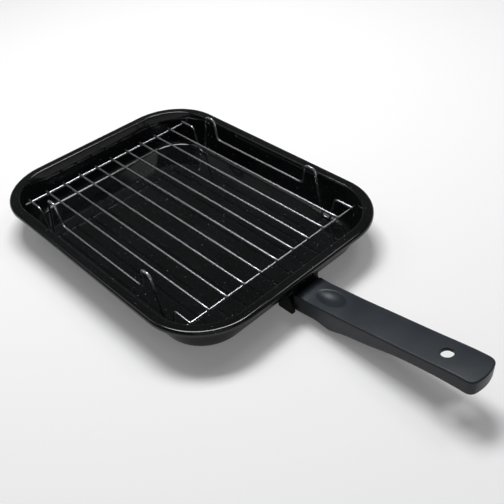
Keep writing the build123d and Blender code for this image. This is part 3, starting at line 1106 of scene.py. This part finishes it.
@dataclass(frozen=True)
class Lamp:
    """A rectangular soft lamp aimed at the dish."""

    name: str
    place: tuple[float, float, float]
    width: float
    depth: float
    power: float


@dataclass
class Studio:
    """Pale floor, soft lamps and the camera that sees the pan as the photograph does."""

    azimuth: float = math.radians(-40.722)
    elevation: float = math.radians(40.592)
    roll: float = math.radians(-5.244)
    eye: tuple[float, float, float] = (-0.3677, -0.53856, 0.50795)
    lens: float = 48.806
    sensor: float = 36.0
    aim: tuple[float, float, float] = (0.0, -0.05, 0.0)
    floor_half: float = 6.0
    floor_glow: float = 0.12
    far_floor: tuple[float, float] = (1.2, 3.2)
    floor_grey: float = 0.86
    horizon_grey: float = 0.6
    overhead_grey: float = 0.09
    sky_fade: tuple[float, float] = (0.03, 0.2)
    lamps: tuple[Lamp, ...] = (
        Lamp("overhead_softbox", (0.3, 0.45, 1.6), 0.9, 0.5, 24.0),
        Lamp("edge_softbox", (1.03, -0.29, 1.6), 0.6, 0.4, 3.0),
        Lamp("rear_softbox", (-0.55, 1.15, 1.45), 0.9, 0.7, 2.0),
        Lamp("front_softbox", (-0.9, -1.5, 1.7), 1.8, 1.4, 3.0),
    )

    def camera(self) -> None:
        """Places the camera: its axes are the view's right, up and back, turned by the roll."""
        a, e, r = self.azimuth, self.elevation, self.roll
        back = Vector((math.sin(a) * math.cos(e), -math.cos(a) * math.cos(e), math.sin(e)))
        right = Vector((math.cos(a), math.sin(a), 0.0))
        up = back.cross(right)
        turned_right = right * math.cos(r) + up * math.sin(r)
        turned_up = up * math.cos(r) - right * math.sin(r)
        data = bpy.data.cameras.new("camera")
        data.lens, data.sensor_width = self.lens, self.sensor
        made = bpy.data.objects.new("camera", data)
        place = Matrix((turned_right, turned_up, back)).transposed().to_4x4()
        place.translation = Vector(self.eye)
        made.matrix_world = place
        bpy.context.scene.collection.objects.link(made)
        bpy.context.scene.camera = made

    def light(self) -> None:
        """Adds the lamps, and a surround that is pale at the horizon and dim overhead."""
        for lamp in self.lamps:
            data = bpy.data.lights.new(lamp.name, "AREA")
            data.shape, data.size, data.size_y = "RECTANGLE", lamp.width, lamp.depth
            data.energy = lamp.power
            made = bpy.data.objects.new(lamp.name, data)
            made.location = lamp.place
            back = Vector(lamp.place) - Vector(self.aim)
            made.rotation_euler = back.to_track_quat("Z", "Y").to_euler()
            bpy.context.scene.collection.objects.link(made)
        sky = Shader(bpy.data.worlds.new("surround"), "ShaderNodeOutputWorld")
        towards = sky.node("ShaderNodeTexCoord", {}, {})["Generated"]
        height = sky.node("ShaderNodeSeparateXYZ", {}, {"Vector": towards})["Z"]
        dimming = height.ramp(*self.sky_fade) * (self.horizon_grey - self.overhead_grey)
        sockets = {"Color": (1, 1, 1, 1), "Strength": self.horizon_grey - dimming}
        sky.show(sky.node("ShaderNodeBackground", {}, sockets)["Background"])
        bpy.context.scene.world = sky.owner

    def floor(self) -> None:
        """Lays a pale floor that keeps a soft shadow and glows far out as the horizon does."""
        paper = Shader(bpy.data.materials.new("pale_floor"), "ShaderNodeOutputMaterial")
        path = paper.node("ShaderNodeLightPath", {}, {})
        sharp = path["Is Camera Ray"] + path["Is Glossy Ray"]
        seen = (sharp + path["Is Transmission Ray"]).clamped()
        place = paper.node("ShaderNodeTexCoord", {}, {})["Object"]
        distance = paper.node("ShaderNodeVectorMath", {"operation": "LENGTH"}, {0: place})["Value"]
        far_glow = distance.ramp(*self.far_floor) * (self.horizon_grey - self.floor_glow)
        strength = seen * (self.floor_glow + far_glow)
        glow = paper.node("ShaderNodeEmission", {}, {"Strength": strength})
        matt = paper.node("ShaderNodeBsdfDiffuse", {}, {"Color": (*[self.floor_grey] * 3, 1.0)})
        both = paper.node("ShaderNodeAddShader", {}, {0: glow["Emission"], 1: matt["BSDF"]})
        paper.show(both["Shader"])
        half = self.floor_half
        corners = [(-half, -half, 0), (half, -half, 0), (half, half, 0), (-half, half, 0)]
        add_mesh("floor", np.array(corners, float), [(0, 1, 2, 3)], paper.owner)

    def build(self) -> None:
        """Sets up the whole studio."""
        self.camera()
        self.light()
        self.floor()
        bpy.context.scene.view_settings.view_transform = "Standard"


def dress(nodes: Sequence[str], finish: bpy.types.Material) -> None:
    """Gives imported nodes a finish.

    Args:
        nodes: Names of nodes that keep their own mesh.
        finish: The material.
    """
    for node in nodes:
        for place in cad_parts[node].material_slots:
            place.material = finish
        LOG.info("%s: %s", node, finish.name)


def main() -> None:
    """Builds every piece."""
    logging.basicConfig(level=logging.INFO)
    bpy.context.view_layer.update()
    Studio().build()
    enamel = EnamelFinish().make()
    black_steel, plated, brass = BLACK_STEEL.make(), PLATED_STEEL.make(), BRASS.make()
    Dish(enamel).build()
    Rack(ChromeFinish().make()).build()
    Grip(PlasticFinish().make()).build()
    dress(["keeper_bracket", "keeper_pin", "handle_claw"], black_steel)
    dress(["left_claw_screw", "right_claw_screw"], plated)
    dress(["left_claw_insert", "right_claw_insert"], brass)


if __name__ == "__main__":
    main()
